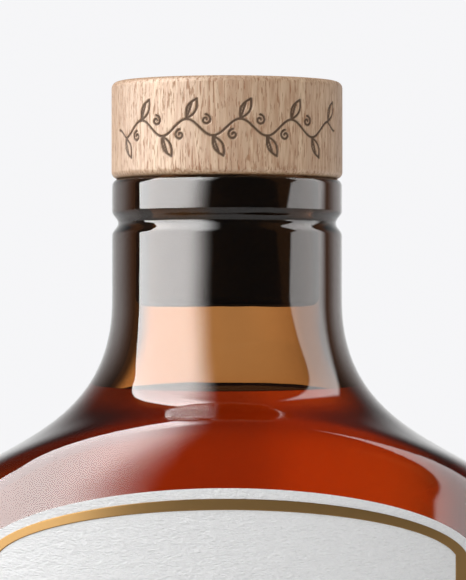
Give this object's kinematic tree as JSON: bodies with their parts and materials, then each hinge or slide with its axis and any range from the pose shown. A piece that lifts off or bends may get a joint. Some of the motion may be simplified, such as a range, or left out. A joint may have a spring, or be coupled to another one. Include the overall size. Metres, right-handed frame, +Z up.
{
  "type": "aftershave bottle",
  "caption": "Oval amber glass flask with a grooved neck, a push-in stopper with a beech head, and an arched paper label in a gold foil frame.",
  "frame": {"origin": "centre of the foot, on the surface the bottle stands on", "axes": "+Z up along the neck, -Y out of the broad face that carries the label, +X across the body's width"},
  "size_m": [0.0612, 0.04, 0.1063],
  "materials": {
    "bottle_glass": "gloss",
    "aftershave_liquid": "gloss",
    "beech_wood": "matte",
    "shank_polymer": "satin",
    "label_paper": "matte",
    "gold_foil": "satin"
  },
  "bodies": {
    "bottle": {"glass_bottle": "bottle_glass", "aftershave_liquid": "aftershave_liquid", "front_label": "label_paper", "foil_frame": "gold_foil"},
    "stopper": {"stopper_head": "beech_wood", "stopper_shank": "shank_polymer"}
  },
  "joints": [
    {"name": "stopper_lift", "type": "slide", "parent": "bottle", "child": "stopper", "axis": [0, 0, 1], "range_m": [0, 0.025]}
  ]
}
